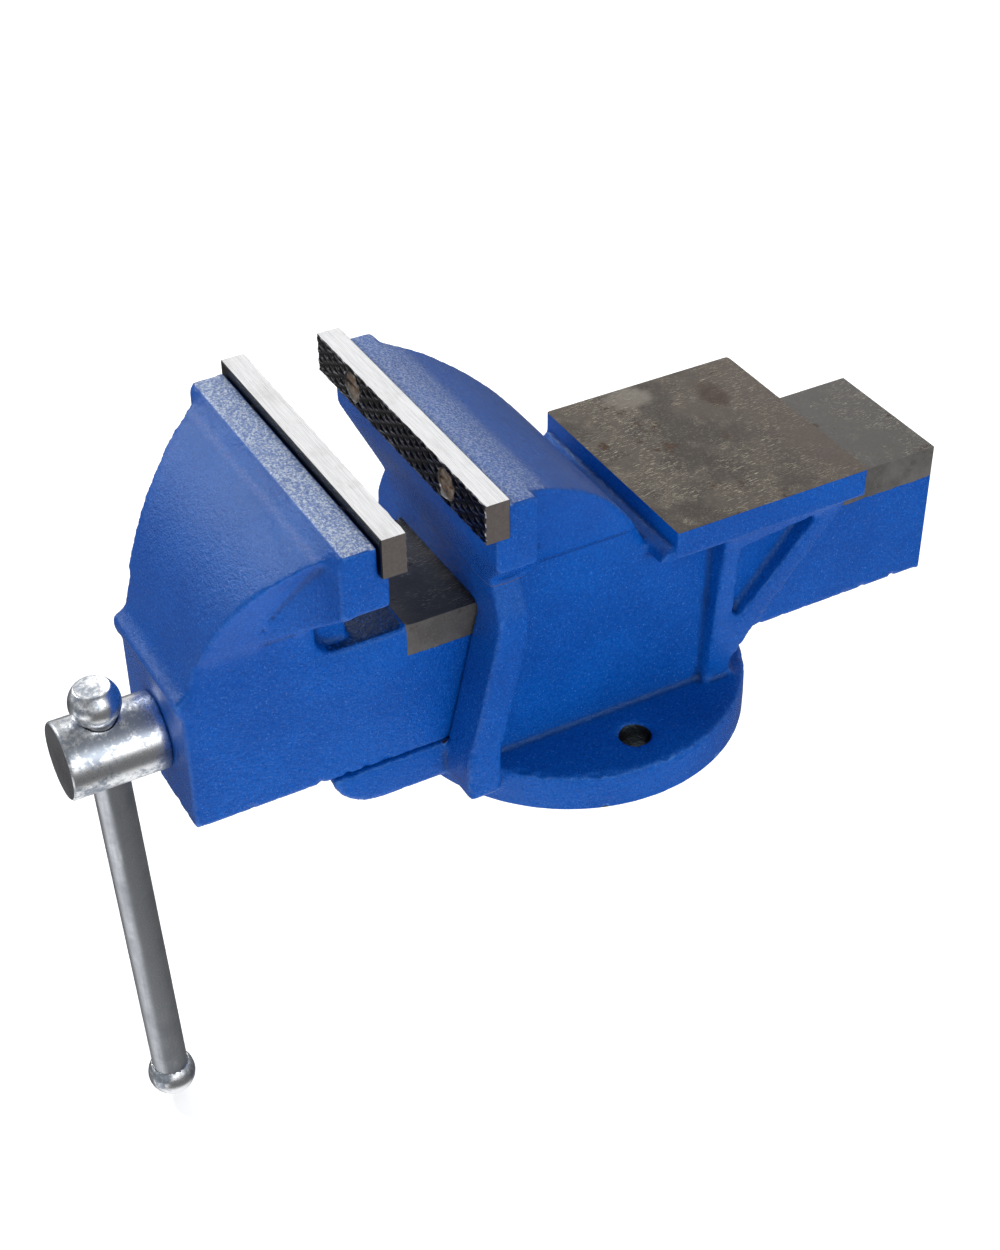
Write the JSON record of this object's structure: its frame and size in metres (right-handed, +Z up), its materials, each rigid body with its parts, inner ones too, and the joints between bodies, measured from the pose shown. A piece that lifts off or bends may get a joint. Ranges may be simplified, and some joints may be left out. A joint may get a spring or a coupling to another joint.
{
  "type": "bench vise",
  "caption": "Cast iron bench vise with serrated jaw plates, sliding ram, screw spindle with tommy bar, anvil and round bolt-down base.",
  "frame": {"origin": "centre of the round base's underside, midway between the two bench bolt holes", "axes": "+X along the jaws, +Y from the handle along the spindle to the anvil, +Z up from the bench"},
  "size_m": [0.164, 0.4133, 0.331],
  "materials": {
    "blue_paint": "gloss enamel over sand casting",
    "jaw_steel": "ground",
    "dark_steel": "black oxide",
    "screw_steel": "oiled, turned",
    "zinc_plate": "bright zinc plated",
    "bar_steel": "drawn bar, zinc plated",
    "bare_iron": "machined"
  },
  "bodies": {
    "fixed": {"fixed_jaw_body": "blue_paint", "fixed_jaw_plate": "jaw_steel", "fixed_plate_screws": "dark_steel", "main_nut": "bare_iron", "nut_bolts": "dark_steel", "nut_lock_washers": "dark_steel"},
    "moving_jaw": {"movable_jaw": "blue_paint", "movable_jaw_plate": "jaw_steel", "movable_plate_screws": "dark_steel"},
    "spindle": {"lead_screw": "screw_steel", "spindle_head": "zinc_plate", "head_pin": "dark_steel", "thrust_washer": "dark_steel", "spring_washer": "dark_steel", "takeup_spring": "dark_steel", "retaining_collar": "dark_steel", "collar_pin": "dark_steel"},
    "handle": {"handle_bar": "bar_steel", "handle_knob_upper": "zinc_plate", "handle_knob_lower": "zinc_plate"}
  },
  "joints": [
    {"name": "jaw_slide", "type": "slide", "parent": "fixed", "child": "moving_jaw", "axis": [0, 1, 0], "range_m": [-0.117, 0.033]},
    {"name": "spindle_spin", "type": "hinge", "parent": "moving_jaw", "child": "spindle", "pos_m": [0, -0.19, 0.0598], "axis": [0, 1, 0], "range_deg": [-7030, 1990]},
    {"name": "handle_slide", "type": "slide", "parent": "spindle", "child": "handle", "axis": [0, -0.0366, 0.9993], "range_m": [0, 0.1795]}
  ],
  "couplings": [
    {"joint": "spindle_spin", "follows": "jaw_slide", "rad_per_m": 1047.2}
  ]
}
